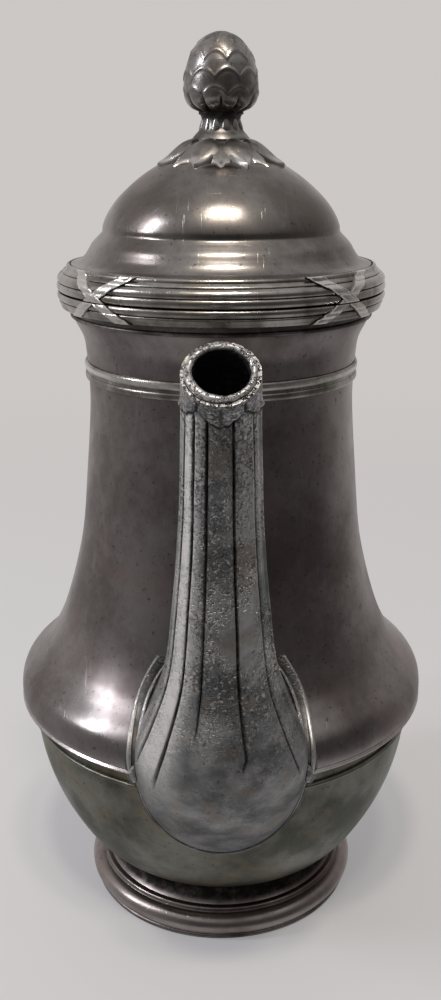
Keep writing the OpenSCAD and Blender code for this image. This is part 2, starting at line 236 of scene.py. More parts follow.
def handmade(amount, size, seed):
    """A warp that presses a spun wall slightly in, unevenly, as hand work and dents do."""
    def warp(q):
        radial = Vector((q.x, q.y, 0))
        if radial.length < 1e-6:
            return q
        push = value_noise(q, size, seed) + 0.4 * value_noise(q, size * 0.4, seed + 5) - 1
        return q + radial.normalized() * push * amount
    return warp


def shell(curve, t):
    """Closed outline of a sheet whose outer face is the curve."""
    return curve + aside(curve, t)[::-1]


# ---------- materials ----------

class Graph:
    """A node material under construction."""

    def __init__(self, name):
        self.material = bpy.data.materials.new(name)
        self.material.use_nodes = True
        self.tree = self.material.node_tree
        self.shader = self.tree.nodes["Principled BSDF"]
        self.place = self.add("ShaderNodeTexCoord").outputs["Object"]

    @classmethod
    def of_tree(cls, tree):
        """A graph over a node tree that isn't a material's."""
        g = cls.__new__(cls)
        g.tree = tree
        return g

    def add(self, kind, **inputs):
        n = self.tree.nodes.new(kind)
        for key, value in inputs.items():
            self.set(n.inputs[key], value)
        return n

    def set(self, socket, value):
        if isinstance(value, bpy.types.NodeSocket):
            self.tree.links.new(value, socket)
        else:
            socket.default_value = value

    def noise(self, size, detail=3.0, stretch=(1, 1, 1), turn=(0, 0, 0), rough=0.55):
        """Noise with features about size metres across, stretched along the axes."""
        mapping = self.add("ShaderNodeMapping", Vector=self.place,
                           Scale=[s / size for s in stretch],
                           Rotation=[radians(a) for a in turn])
        return self.add("ShaderNodeTexNoise", Vector=mapping.outputs[0], Scale=1.0,
                        Detail=detail, Roughness=rough).outputs["Fac"]

    def remap(self, value, lo, hi, to_lo=0.0, to_hi=1.0, linear=False):
        n = self.add("ShaderNodeMapRange", Value=value)
        n.interpolation_type = "LINEAR" if linear else "SMOOTHSTEP"
        for i, v in zip((1, 2, 3, 4), (lo, hi, to_lo, to_hi)):
            n.inputs[i].default_value = v
        return n.outputs[0]

    def math(self, operation, a, b=0.0):
        n = self.add("ShaderNodeMath")
        n.operation = operation
        self.set(n.inputs[0], a)
        self.set(n.inputs[1], b)
        return n.outputs[0]

    def mix(self, fac, a, b, blend="MIX"):
        n = self.add("ShaderNodeMix")
        n.data_type = "RGBA"
        n.blend_type = blend
        self.set(n.inputs["Factor"], fac)
        for key, side in (("A", a), ("B", b)):
            self.set(n.inputs[key], side if isinstance(side, bpy.types.NodeSocket) else (*side, 1))
        return n.outputs["Result"]

    def grey(self, value):
        """A grey of the given lightness as a colour."""
        return self.add("ShaderNodeCombineColor", Red=value, Green=value, Blue=value).outputs[0]

    def bump(self, height, strength, distance, normal=None):
        n = self.add("ShaderNodeBump", Height=height, Strength=strength, Distance=distance)
        if normal:
            self.set(n.inputs["Normal"], normal)
        return n.outputs[0]

    def attribute(self, name):
        n = self.add("ShaderNodeAttribute")
        n.attribute_name = name
        return n.outputs["Fac"]

    def cavity(self, distance):
        """How enclosed a point is: 0 in the open, 1 deep in a crevice."""
        n = self.add("ShaderNodeAmbientOcclusion")
        n.samples = 8
        n.inputs["Distance"].default_value = distance
        return self.math("SUBTRACT", 1.0, n.outputs["AO"])

    def surface(self, colour, roughness, normal):
        """Joins the three to the shader."""
        self.set(self.shader.inputs["Base Color"], colour)
        self.set(self.shader.inputs["Roughness"], roughness)
        self.set(self.shader.inputs["Normal"], normal)


def tarnished_silver(name, clean, dull, blush, rough=(0.22, 0.40), wear=0.5, pits=0.0,
                     patch=0.035, scratch=0.25, crevice=0.003, matt=0.0):
    """Silver plate: clean metal, duller tarnish in patches, a blush of colour, and crevices painted
    black, both painted shade and tarnish. Places marked bright, by wear and by painted highlights,
    are lighter;
    matt says how far they are frosted rather than polished."""
    g = Graph(name)
    clouds = g.noise(patch, 5.0)
    tint = g.noise(patch * 0.6, 3.0, turn=(30, 60, 10))
    fine = g.noise(0.0032, 4.0, rough=0.7)
    tarnish = g.remap(g.math("ADD", clouds, g.math("MULTIPLY", fine, 0.22)), 0.46, 0.78)
    colour = g.mix(tarnish, clean, dull)
    colour = g.mix(g.remap(tint, 0.5, 0.72, 0.0, 0.7), colour, blush)
    specks = g.remap(g.noise(0.0011, 2.0), 0.64, 0.73, 0.0, 0.6)
    colour = g.mix(specks, colour, [c * 0.3 for c in dull])
    # Crevices found by an occlusion test and places marked dark are painted near black: painted
    # shade, with tarnish and dirt.
    cavity = g.remap(g.cavity(crevice), 0.28, 0.72)
    mark = g.attribute("mark")
    shine = g.math("MAXIMUM", g.math("MULTIPLY", mark, -1.0), 0.0)
    grime_and_shade = g.math("MAXIMUM", cavity, mark)
    grime_and_shade = g.math("MULTIPLY", grime_and_shade, g.remap(fine, 0.25, 0.6, 0.7, 1.0))
    long_lines = g.noise(0.0028, 2.0, stretch=(0.12, 0.12, 6.0))
    cross_a = g.noise(0.004, 2.0, stretch=(14, 0.35, 0.35), turn=(10, 35, 20))
    cross_b = g.noise(0.004, 2.0, stretch=(0.4, 12, 0.4), turn=(50, -20, -35))
    lines = g.math("ADD", g.remap(cross_a, 0.64, 0.78), g.remap(cross_b, 0.66, 0.79))
    marking = g.math("MULTIPLY", lines, wear)
    bright = [min(c * 1.6, 0.9) for c in clean]
    colour = g.mix(g.math("MULTIPLY", marking, 0.22), colour, bright)
    # Places marked bright are painted lighter: wear, and painted highlights.
    wear_and_highlight = g.math("MULTIPLY", shine, g.remap(fine, 0.3, 0.65, 0.8, 1.6))
    colour = g.mix(wear_and_highlight, colour, bright)
    roughness = g.remap(g.math("ADD", clouds, g.math("MULTIPLY", tint, 0.4)), 0.45, 0.95, *rough)
    roughness = g.math("ADD", roughness, g.math("MULTIPLY", marking, 0.08))
    roughness = g.math("ADD", roughness, g.math("MULTIPLY", grime_and_shade, 0.35))
    normal = g.bump(g.noise(0.014, 2.0), 0.35, 0.0003)
    normal = g.bump(long_lines, scratch * 0.4, 0.00006, normal)
    normal = g.bump(lines, scratch, 0.00008, normal)
    if pits:
        holes = g.remap(g.noise(0.0009, 2.0), 0.34, 0.45)
        worms = g.math("ABSOLUTE", g.math("SUBTRACT", g.noise(0.0017, 2.0), 0.5))
        worms = g.remap(worms, 0.0, 0.035)
        pitted = g.remap(g.noise(0.014, 2.0, stretch=(1, 1, 0.5)), 0.36, 0.54)
        height = g.add("ShaderNodeSeparateXYZ", Vector=g.place).outputs["Z"]
        pitted = g.math("MULTIPLY", pitted, g.remap(height, 0.070, 0.105, 0.15, 1.0))
        pitted = g.math("MULTIPLY", pitted, g.remap(mark, -1.0, -0.7))
        # Painted highlights: small glints in the pitted parts.
        glints = g.remap(g.noise(0.0009, 1.0, turn=(40, 10, 70)), 0.58, 0.66)
        glints = g.math("MULTIPLY", glints, pitted)
        colour = g.mix(g.math("MULTIPLY", glints, 0.7), colour, bright)
        # The pits are painted dark: painted shade, with dirt in them.
        sunk = g.math("SUBTRACT", 1.0, g.math("MULTIPLY", holes, worms))
        sunk = g.math("MULTIPLY", sunk, pitted)
        normal = g.bump(g.math("SUBTRACT", 1.0, sunk), pits, 0.0005, normal)
        grime_and_shade = g.math("MAXIMUM", grime_and_shade, g.math("MULTIPLY", sunk, 0.66))
    colour = g.mix(grime_and_shade, colour, (0.012, 0.010, 0.009))
    g.surface(colour, roughness, normal)
    g.set(g.shader.inputs["Metallic"], g.remap(shine, 0.0, 1.0, 1.0, 1.0 - matt))
    return g.material


def bone(name):
    """Old cream insulator: faint grain, its crevices painted dark as shade."""
    g = Graph(name)
    grain = g.noise(0.004, 4.0, stretch=(1, 0.15, 1))
    colour = g.mix(g.remap(grain, 0.35, 0.65), (0.66, 0.56, 0.38), (0.50, 0.39, 0.23))
    colour = g.mix(g.remap(g.cavity(0.002), 0.2, 0.8), colour, (0.08, 0.05, 0.03))
    g.surface(colour, g.remap(grain, 0.3, 0.7, 0.38, 0.55), g.bump(grain, 0.3, 0.0001))
    g.shader.inputs["Subsurface Weight"].default_value = 0.08
    g.shader.inputs["Subsurface Scale"].default_value = 0.002
    return g.material


def brass(name):
    """Bare brass, dulled and stained."""
    g = Graph(name)
    stain = g.noise(0.003, 5.0)
    colour = g.mix(g.remap(stain, 0.35, 0.7), (0.56, 0.41, 0.17), (0.20, 0.13, 0.06))
    # Crevices painted dark: painted shade.
    colour = g.mix(g.remap(g.cavity(0.001), 0.3, 0.8), colour, (0.02, 0.015, 0.01))
    g.surface(colour, g.remap(stain, 0.3, 0.7, 0.3, 0.55),
              g.bump(g.noise(0.001, 3.0), 0.3, 0.00005))
    g.shader.inputs["Metallic"].default_value = 1.0
    return g.material


# What each silver looks like: its clean metal, its tarnish, its blush, its wear, and how far round
# its crevices are painted dark as shade
SILVERS = {
    "silver_body": dict(
        clean=(0.37, 0.335, 0.325), dull=(0.17, 0.14, 0.135), blush=(0.30, 0.225, 0.22),
        crevice=0.002),
    "silver_bowl": dict(
        clean=(0.31, 0.295, 0.25), dull=(0.125, 0.125, 0.10), blush=(0.29, 0.235, 0.165),
        rough=(0.28, 0.46), patch=0.02, crevice=0.002),
    "silver_foot": dict(
        clean=(0.40, 0.35, 0.335), dull=(0.17, 0.13, 0.12), blush=(0.31, 0.24, 0.23), patch=0.02),
    "silver_band": dict(
        clean=(0.54, 0.51, 0.48), dull=(0.20, 0.175, 0.155), blush=(0.42, 0.38, 0.33),
        rough=(0.16, 0.36), patch=0.012, crevice=0.0016),
    "silver_lid": dict(
        clean=(0.42, 0.39, 0.37), dull=(0.20, 0.17, 0.155), blush=(0.34, 0.29, 0.26),
        rough=(0.17, 0.32), crevice=0.002),
    "silver_finial": dict(
        clean=(0.46, 0.43, 0.41), dull=(0.17, 0.15, 0.14), blush=(0.32, 0.28, 0.26),
        rough=(0.20, 0.40), patch=0.008, crevice=0.0022),
    "silver_spout": dict(
        clean=(0.50, 0.48, 0.475), dull=(0.175, 0.18, 0.185), blush=(0.36, 0.305, 0.26),
        rough=(0.32, 0.50), wear=0.9, pits=0.9, patch=0.014, scratch=0.5, matt=0.6),
    "silver_handle": dict(
        clean=(0.46, 0.43, 0.41), dull=(0.19, 0.16, 0.15), blush=(0.33, 0.28, 0.26),
        rough=(0.2, 0.38), patch=0.015),
}
MATERIALS = {name: tarnished_silver(name, **look) for name, look in SILVERS.items()}
MATERIALS["insulator"] = bone("insulator")
MATERIALS["brass_fittings"] = brass("brass_fittings")


# ---------- camera, light and floor ----------

# The camera's place and tilt in pot heights and degrees, and its lens on a 36 mm sensor
VIEW_BACK = 1.2267
VIEW_UP = 0.895
VIEW_TILT = 18.23
VIEW_LENS = 39.6
VIEW_SHIFT = -0.0006
# What the silver mirrors, from the side of the spout round to the handle, and from below and above
MIRRORED = [(0.0, 0.055), (0.22, 0.07), (0.5, 0.13), (0.75, 0.32), (1.0, 0.55)]
MIRRORED_LEFT, MIRRORED_BELOW, MIRRORED_ABOVE = 0.13, 0.34, 0.42
BACKDROP = (0.60, 0.575, 0.56)
FLOOR, FLOOR_GLOW = (0.46, 0.45, 0.455), (0.235, 0.23, 0.235)
# The lamps stand this far from a point at this height on the pot's axis
LAMP_DISTANCE, AIM_HEIGHT = 1.3, 0.15
WARM, COOL = (1.0, 0.93, 0.82), (0.90, 0.93, 1.0)


def make_camera():
    """The view from the spout's side, a little above the lid, looking down."""
    data = bpy.data.cameras.new("camera")
    camera = put("camera", data)
    camera.location = (0, -VIEW_BACK * POT_HEIGHT, VIEW_UP * POT_HEIGHT)
    camera.rotation_euler = (radians(90 - VIEW_TILT), 0, 0)
    data.lens = VIEW_LENS
    data.shift_x = VIEW_SHIFT
    data.clip_start = 0.01
    bpy.context.scene.camera = camera


def area_light(name, azimuth, elevation, size, watts, colour):
    """A soft lamp aimed at the pot. Azimuth 0 is in front of the spout, positive to the right."""
    data = bpy.data.lights.new(name, "AREA")
    data.shape = "RECTANGLE"
    data.size, data.size_y = size
    data.energy = watts
    data.color = colour
    lamp = put(name, data)
    a, e = radians(azimuth), radians(elevation)
    way = Vector((sin(a) * cos(e), -cos(a) * cos(e), sin(e)))
    lamp.location = Vector((0, 0, AIM_HEIGHT)) + way * LAMP_DISTANCE
    lamp.rotation_euler = way.to_track_quat("Z", "Y").to_euler()
    lamp.visible_camera = False


def make_world():
    """A pale backdrop to look at; what the silver mirrors is dim in front and pale behind."""
    world = bpy.data.worlds.new("studio")
    bpy.context.scene.world = world
    world.use_nodes = True
    g = Graph.of_tree(world.node_tree)
    g.tree.nodes.clear()
    way = g.add("ShaderNodeSeparateXYZ", Vector=g.add("ShaderNodeTexCoord").outputs["Generated"])
    x, y, z = way.outputs
    ramp = g.add("ShaderNodeValToRGB", Fac=g.remap(y, -1.0, 1.0, linear=True))
    ramp.color_ramp.interpolation = "EASE"
    stops = ramp.color_ramp.elements
    while len(stops) < len(MIRRORED):
        stops.new(0.5)
    for stop, (position, grey) in zip(stops, MIRRORED):
        stop.position = position
        stop.color = (grey, grey * 0.97, grey * 0.955, 1)
    left = g.remap(x, -0.2, -1.0, 0.0, MIRRORED_LEFT)
    round_about = g.mix(1.0, ramp.outputs[0], g.grey(left), blend="ADD")
    below = g.mix(g.remap(z, -0.30, -0.66), round_about, g.grey(MIRRORED_BELOW))
    above = g.mix(g.remap(z, 0.30, 0.85), below, g.grey(MIRRORED_ABOVE))
    mirrored = g.add("ShaderNodeBackground", Color=above)
    seen = g.add("ShaderNodeBackground")
    seen.inputs["Color"].default_value = (*BACKDROP, 1)
    choose = g.add("ShaderNodeMixShader", Fac=g.add("ShaderNodeLightPath").outputs["Is Camera Ray"])
    g.tree.links.new(mirrored.outputs[0], choose.inputs[1])
    g.tree.links.new(seen.outputs[0], choose.inputs[2])
    g.tree.links.new(choose.outputs[0], g.add("ShaderNodeOutputWorld").inputs[0])


def make_floor():
    """A plain pale floor that runs into the backdrop's own colour further off."""
    mesh = bpy.data.meshes.new("floor")
    half = 4.0
    mesh.from_pydata([(-half, -half, 0), (half, -half, 0), (half, half, 0), (-half, half, 0)],
                     [], [(0, 1, 2, 3)])
    floor = put("floor", mesh)
    g = Graph("floor")
    far_off = g.add("ShaderNodeVectorMath", Vector=g.place)
    far_off.operation = "LENGTH"
    away = g.remap(far_off.outputs["Value"], 0.10, 0.75)
    g.set(g.shader.inputs["Base Color"], g.mix(away, FLOOR, (0.0, 0.0, 0.0)))
    g.set(g.shader.inputs["Emission Color"], g.mix(away, FLOOR_GLOW, BACKDROP))
    g.shader.inputs["Emission Strength"].default_value = 1.0
    g.shader.inputs["Specular IOR Level"].default_value = 0.0
    g.shader.inputs["Roughness"].default_value = 0.9
    mesh.materials.append(g.material)
    floor.visible_glossy = False


def make_studio():
    bpy.context.scene.view_settings.view_transform = "Standard"
    make_camera()
    make_world()
    make_floor()
    area_light("ceiling_left", -7, 66, (0.13, 0.13), 4.5, WARM)
    area_light("ceiling_right", 16, 66, (0.13, 0.13), 3, WARM)
    area_light("window", -78, 30, (0.17, 0.62), 6, COOL)


# ---------- foot ----------

def foot_ring():
    """Rounded foot ring with a step and a recessed neck painted dark as shade, spun in one with its
    inner face.
    """
    r = FOOT_R / MM
    outer = [(r - 5.4, 1.75), (r - 1.4, 1.75), *arc(r - 2.9, 4.5, 2.9, -58, 72, 16),
             (r - 2.9, 7.5), (r - 3.2, 7.5), (r - 3.5, 7.9), *arc(r - 4.2, 7.9, 0.7, 10, 100, 5),
             *smooth([(r - 5.2, 8.6), (33.2, 10), (32.6, 12.2), (33.8, 14.8)], 6)]
    inner = smooth([(32.7, 14.4), (31.4, 12.4), (32, 9.6), (r - 6.8, 7), (r - 6.6, 4)], 5)
    # Marks: the recessed neck under the bowl is painted dark as its shade, and the ring's round
    # carries a painted highlight.
    return spun(outer + inner, warp=handmade(0.00006, 0.03, 2.0),
                mark=lambda p, a: 0.92 * step(8.4, 9.8, p.y) - 0.35 * bump_at(p.y, 5, 3.2))


def foot_wire():
    """The wire under the foot ring, on which the pot stands."""
    r = FOOT_R / MM
    return spun([(r - 5.4, 0), (r - 1.9, 0), *arc(r - 2.0, 0.8, 0.8, -80, 80, 8),
                 (r - 5.4, 1.65)], warp=handmade(0.00003, 0.02, 1.0))


# ---------- body ----------

# The strainer's holes: radius, degrees from one to the next, and how many each side of the middle
HOLE_R, HOLE_FAN, HOLES_ASIDE = 0.0018, 6.5, 2


def lower_bowl():
    """The bowl's sheet, its upper edge standing straight inside the body's."""
    curve = smooth([(0.4, 13.6)] + BOWL, 8) + [Vector((54.2, 60)), Vector((54.2, 64))]
    return spun(shell(curve, SHEET), warp=handmade(0.00012, 0.045, 3.0))


def upper_body():
    """The body's outline, with its rolled lower lip turned in over the seam."""
    lip = [(54.3, 62)] + arc(56.9, 63.2, 1.2, -90, -15, 8)
    top = [Vector((RIM_R / MM, BODY_TOP / MM))]
    outer = lip + smooth(BELLY, 8)[2:] + top
    inner = [p for p in aside(smooth(BELLY, 8)[2:] + top, SHEET) if p.y > 63.3]
    inner[-1].y = top[0].y
    back = [(55.7, 63.3), (54.3, 63.2)]
    # Marks: a painted shadow under the band at the top of the neck, and a painted highlight along
    # the rolled lip.
    return spun(outer + inner[::-1] + back, warp=handmade(0.00016, 0.05, 4.0),
                mark=lambda p, a: 0.55 * bump_at(p.y, 173, 3.5) - 0.7 * bump_at(p.y, 63.0, 1.9))


def drill(obj, heights):
    """Cuts the strainer's rows of holes through the front wall."""
    cutter = Shape()
    for z in heights:
        for i in range(-HOLES_ASIDE, HOLES_ASIDE + 1):
            turn = Matrix.Rotation(radians(i * HOLE_FAN), 3, "Z")
            rows = [[turn @ Vector((HOLE_R * cos(a), y, z + HOLE_R * sin(a)))
                     for a in turns(24)] for y in (-0.025, -0.07)]
            index = cutter.grid(rows, loop_v=True, flip=True)
            cutter.cap(index[0])
            cutter.cap(index[1], flip=True)
    tool = put("strainer_cutter", cutter.mesh("strainer_cutter"))
    cut = obj.modifiers.new("strainer", "BOOLEAN")
    cut.object = tool
    cut.operation = "DIFFERENCE"
    cut.solver = "EXACT"
    bpy.context.view_layer.update()
    graph = bpy.context.evaluated_depsgraph_get()
    obj.data = bpy.data.meshes.new_from_object(obj.evaluated_get(graph))
    obj.modifiers.clear()
    bpy.data.objects.remove(tool)


def half_round(r, z, half_h, proud):
    """Outline of a half-round wire against a wall at radius r, in millimetres."""
    back = 0.6
    curve = [(r + (q.x - r) * proud / half_h, q.y) for q in arc(r, z, half_h, -90, 90, 12)]
    return [(r - back, z - half_h), *curve, (r - back, z + half_h)]


def seam_wire():
    return spun(half_round(54.3, 57, 0.7, 0.7))


def neck_fillet():
    """A thin wire just under the band, painted dark as the band's shadow."""
    return spun(half_round(39.35, 171, 0.5, 0.5), mark=lambda p, a: 0.6)


def neck_bead():
    """A broad low round painted bright as a highlight, with a narrower, duller one below it."""
    lo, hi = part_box("neck_bead")
    r, middle = hi.x / MM - 0.55, hi.z / MM - 1.1
    low, high = half_round(r, lo.z / MM + 0.9, 0.9, 0.4), half_round(r, middle, 1.1, 0.52)
    return spun(low[:-1] + high[1:], warp=handmade(0.00004, 0.02, 6.0),
                mark=lambda p, a: -0.8 * bump_at(p.y, middle, 0.9))


# ---------- reeded band and its ribbons ----------

REED_EDGES = (0.0, 0.20, 0.395, 0.605, 0.82, 1.0)
REED_DEPTH = 0.00075
RIBBON_LEAN = 58


def band_r(z):
    """Outer radius of the band's rounded sweep at height z, in metres."""
    middle = (BAND_LOW + BAND_HIGH) / 2 - 0.0006
    u = (z - middle) / ((BAND_HIGH - BAND_LOW) / 5)
    return RIM_R + 0.0035 - 0.00009 * min(max(u, -1.75), 2.3) ** 4


def reed_sink(z):
    """How deep the band's surface lies below its sweep at height z, in metres."""
    u = (z - BAND_LOW) / (BAND_HIGH - BAND_LOW)
    for low, high in zip(REED_EDGES, REED_EDGES[1:]):
        if low <= u <= high:
            t = (2 * u - low - high) / (high - low)
            return REED_DEPTH * (1 - max(1 - t * t, 0.0) ** 0.4)
    return REED_DEPTH


def reeds(first, last, z_from, z_to):
    """The band's reeds from first to last, spun, cut at z_from and z_to."""
    span = BAND_HIGH - BAND_LOW
    outline = [(RIM_R / MM + 0.05, z_from / MM)]
    for i in range(first, last + 1):
        z0 = max(BAND_LOW + REED_EDGES[i] * span, z_from)
        z1 = min(BAND_LOW + REED_EDGES[i + 1] * span, z_to)
        half, mid = (z1 - z0) / 2, (z0 + z1) / 2
        for k in range(13 if i == last else 12):
            a = pi * (k / 12 - 0.5)
            z = mid + half * sin(a)
            sink = REED_DEPTH * (1 - max(cos(a), 0.0) ** 0.8)
            outline.append(Vector((band_r(z) - sink, z)) / MM)
    outline.append((RIM_R / MM + 0.05, z_to / MM))
    return spun(outline, warp=handmade(0.00006, 0.02, 8.0))


def ribbon(shape, angle, lean, lift, z_from, z_to):
    """One broad low ribbon laid slantwise over the band, cut at z_from and z_to."""
    half_w, thick, buried = 0.00125, 0.00034, 0.0009
    middle = (BAND_LOW + BAND_HIGH) / 2
    tilt = radians(lean)
    reach = half_w / cos(tilt)
    along, across = 36, 12
    top, under, marks = [], [], []
    for i in range(along + 1):
        z = z_from + (z_to - z_from) * i / along
        top_row, under_row, mark = [], [], []
        for j in range(across + 1):
            v = 2 * j / across - 1
            crown = 0.00016 * (1 - v * v) + 0.00010 * bump_at(abs(v), 0.84, 0.2)
            s = (z - middle) * tan(tilt) + v * reach
            r = band_r(z) - 0.5 * reed_sink(z)
            a = angle + s / r
            for row, d in ((top_row, lift + thick + crown), (under_row, -buried)):
                row.append(Vector(((r + d) * sin(a), -(r + d) * cos(a), z)))
            # The ribbon's middle is painted bright as a highlight; its edges are left plain.
            mark.append(0.9 * step(0.86, 1.0, abs(v)) - 0.9)
        top.append(top_row)
        under.append(under_row)
        marks.append(mark)
    shape.slab(top, under, marks, (lean < 0, lean > 0, lean < 0))


def ribbon_ties(z_from, z_to):
    """Crossed ribbons at four places round the band."""
    shape = Shape()
    for quarter in range(4):
        angle = radians(45 + 90 * quarter)
        ribbon(shape, angle, RIBBON_LEAN, 0.0, z_from, z_to)
        ribbon(shape, angle, -RIBBON_LEAN, 0.00012, z_from, z_to)
    return shape


# ---------- lid ----------

def lid_dome():
    """The dome's sheet, from its upright rim to the hole for the stud."""
    curve = [Vector((RIM_R / MM, LID_LOW / MM)), Vector((RIM_R / MM, 183.4))] + smooth(DOME, 8)
    curve += [Vector((1.7, DOME_TOP / MM))]
    return spun(shell(curve, SHEET), warp=handmade(0.0001, 0.04, 7.0))


def lid_bezel():
    """The collar that drops into the mouth, its lower outer edge rounded."""
    lo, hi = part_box("lid_bezel")
    r, z0, z1 = hi.x / MM, lo.z / MM, hi.z / MM
    return spun([(r - 0.9, z0), *arc(r - 0.45, z0 + 0.45, 0.45, -90, 0, 4), (r, z1), (r - 1, z1),
                 (r - 1, z0 + 0.1)], steps=192)


# ---------- rosette and finial ----------

LEAF_HALF_W = 0.0040


def dome_height(r):
    """Height of the dome's top at radius r, in metres."""
    for (r1, z1), (r0, z0) in zip(DOME, DOME[1:]):
        if r0 * MM <= r <= r1 * MM:
            return (z0 + (z1 - z0) * (r / MM - r0) / (r1 - r0)) * MM
    return DOME_TOP


def rosette_leaf(shape, angle, reach, drop_by):
    """One broad plump leaf hanging over the dome, with a midrib and a tip turned up."""
    spine = smooth([(7.0, 3.7), (8.2, 3.5), (9.8, 2.8), (12, 1.3), (14.4, -0.5), (17.2, -2.35)], 5)
    along, across = len(spine) - 1, 12
    top, under, marks = [], [], []
    for i, q in enumerate(spine):
        t = i / along
        r = (q.x + (reach - 17.2) * t ** 2) * MM
        z = DOME_TOP + (q.y - drop_by) * MM
        widen = step(0.0, 0.5, t) * 0.45 + 0.55
        w = LEAF_HALF_W * widen * max(1 - step(0.45, 1.02, t), 0.004) ** 0.6
        top_row, under_row, mark = [], [], []
        for j in range(across + 1):
            v = 2 * j / across - 1
            side = v * w
            rib = 0.00022 * bump_at(v, 0, 0.3) * step(0.2, 0.5, t) * (1 - step(0.75, 0.9, t))
            rim = 0.00022 * step(0.80, 0.97, t)
            fall = 0.0008 * v ** 4 + 0.0004 * v * v
            place = Vector((r * sin(angle) + side * cos(angle),
                            -r * cos(angle) + side * sin(angle), 0))
            floor_z = dome_height(hypot(r, side))
            up = max(z + rib + rim - fall, floor_z + 0.0001)
            top_row.append(place + Vector((0, 0, up)))
            under_row.append(place + Vector((0, 0, max(up - 0.0011, floor_z - 0.0002))))
            # Marks: the leaf's edges towards its base painted dark as the shade between leaves, its
            # middle a little darker, and its tip painted bright as a highlight.
            mark.append(max(0.9 * step(0.8, 1.0, abs(v)) * (1 - t), 0.35 * bump_at(t, 0.45, 0.4))
                        - 0.9 * step(0.74, 0.94, t + 0.12 * v * v))
        top.append(top_row)
        under.append(under_row)
        marks.append(mark)
    shape.slab(top, under, marks, (True, False, True))


def leaf_rosette():
    """Sixteen leaves in two tiers round the finial's foot, over a plain plate."""
    top = DOME_TOP / MM
    # The plate under the leaves is painted dark as their shade.
    shape = spun([(1.6, top - 0.2), (12.4, top - 1.6), (11, top + 0.2),
                  (9, top + 2.2), (7.9, top + 3.1), (1.6, top + 3.18)],
                 steps=96, mark=lambda p, a: 0.85)
    for shift, reach, drop_by in ((0, 16.6, 0.7), (22.5, 17.2, 0.0)):
        for k in range(8):
            rosette_leaf(shape, radians(45 * k + shift), reach, drop_by)
    return shape


# Radius of the bud's skin against height above the dome's top, in millimetres
BUD = smooth([(5.6, 9.4), (6.9, 10.4), (8.2, 11.6), (9.0, 12.8), (9.35, 14), (9.4, 16), (9.25, 18.4),
              (8.85, 20.2), (8.25, 22.2), (7.2, 24.4), (5.6, 26.4), (3.6, 27.9), (1.5, 28.75)], 5)
BUD_LOBES = 12
DROPS_R, DROPS_UP = 0.0051, 0.0067


def finial_outline():
    """Stem and core of the bud as one closed outline, in millimetres."""
    top = DOME_TOP / MM
    stem = smooth([(7.35, 3.2), (7.4, 3.5), (6.7, 4.4), (5.8, 5.4), (5.2, 6.5), (4.95, 7.7),
                   (5.0, 8.7), (5.3, 9.3)], 4)
    curve = [(p.x, p.y + top) for p in stem + BUD]
    return [(0.01, top + 3.2)] + curve + [(0.01, top + 28.9)]


def bud_relief(h, a):
    """How far the bud's skin stands out at height h and angle a in millimetres, and its mark."""
    t = 2 * ((a * BUD_LOBES / (2 * pi)) % 1.0) - 1
    foot = 10.1 + 1.9 * t * t
    rise = step(foot - 0.3, foot + 0.8, h)
    low = 1 - step(11.8, 15, h)
    gap = step(0.72, 1.0, abs(t)) * low
    out = low * (0.75 * sqrt(1 - t * t) - 0.5) * rise - 0.9 * (1 - rise) - 0.25 * gap
    row = (h - 12.2) / 4.4
    t2 = 2 * ((a * 4.5 / pi + 0.5 * (row // 1)) % 1.0) - 1
    edge = abs(row % 1.0 - 0.75 + 0.5 * t2 * t2)
    scale = 0.22 * bump_at(edge, 0, 0.16) * (1 - low)
    # Marks: painted shade under the lobes' feet, in the gaps between them and along the scales'
    # edges; painted highlights down the lobes' middles and on the scales.
    mark = max(0.95 * (1 - rise), 0.9 * gap, 0.35 * bump_at(edge, 0.2, 0.14) * (1 - low))
    return out + scale, mark - 0.35 * bump_at(t, 0, 0.5) * low * rise - 1.6 * scale


def bud_skin(q):
    """Presses broad upright lobes with rounded feet, and overlapping scales, into the bud."""
    h = (q.z - DOME_TOP) / MM
    radial = Vector((q.x, q.y, 0))
    if h < 9.4 or radial.length < 1e-5:
        return q
    out = bud_relief(h, atan2(q.y, q.x))[0] * step(9.4, 10.2, h) * (1 - step(26, 28.7, h))
    return q + radial.normalized() * out * MM


def bud_mark(p, a):
    """The bud's marks, and the stem darkened where it narrows and at its foot."""
    h = p.y - DOME_TOP / MM
    stem = 0.9 * bump_at(h, 9.0, 2.4) + 0.6 * bump_at(h, 3.2, 1.2) + 0.3 * bump_at(h, 5.2, 2.0)
    return max(stem, bud_relief(h, a)[1]) if h > 9.4 else stem


def drop(shape, centre, half, tilt, turn):
    """A small drop-shaped lump, its round end down, tilted outwards and turned round the axis."""
    rows = []
    for i in range(1, 10):
        u = pi * i / 10
        s = sin(u) * (1 - 0.35 * cos(u))
        rows.append([Vector((half[0] * s * cos(a), half[1] * s * sin(a),
                             half[2] * cos(u))) for a in turns(14)])
    lean = Matrix.Rotation(turn, 3, "Z") @ Matrix.Rotation(tilt, 3, "X")
    index = shape.grid([[Vector(centre) + lean @ p for p in ring] for ring in rows], loop_v=True)
    shape.cap(index[0], flip=True)
    shape.cap(index[-1])


def finial():
    """The bud on its stem, twelve drops round the stem, and the stud below."""
    shape = spun(finial_outline(), steps=240, warp=bud_skin, mark=bud_mark)
    for k in range(BUD_LOBES):
        a = 2 * pi * (k + 0.5) / BUD_LOBES
        drop(shape, (DROPS_R * sin(a), -DROPS_R * cos(a), DOME_TOP + DROPS_UP),
             (0.0010, 0.00042, 0.0021), radians(-12), a)
    stud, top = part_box("finial")[0].z / MM, DOME_TOP / MM
    shape.join(spun([(0.01, stud), (1.3, stud), (1.5, stud + 0.3), (1.5, top + 3.4),
                     (0.01, top + 3.4)], steps=32))
    return shape


# ---------- spout ----------

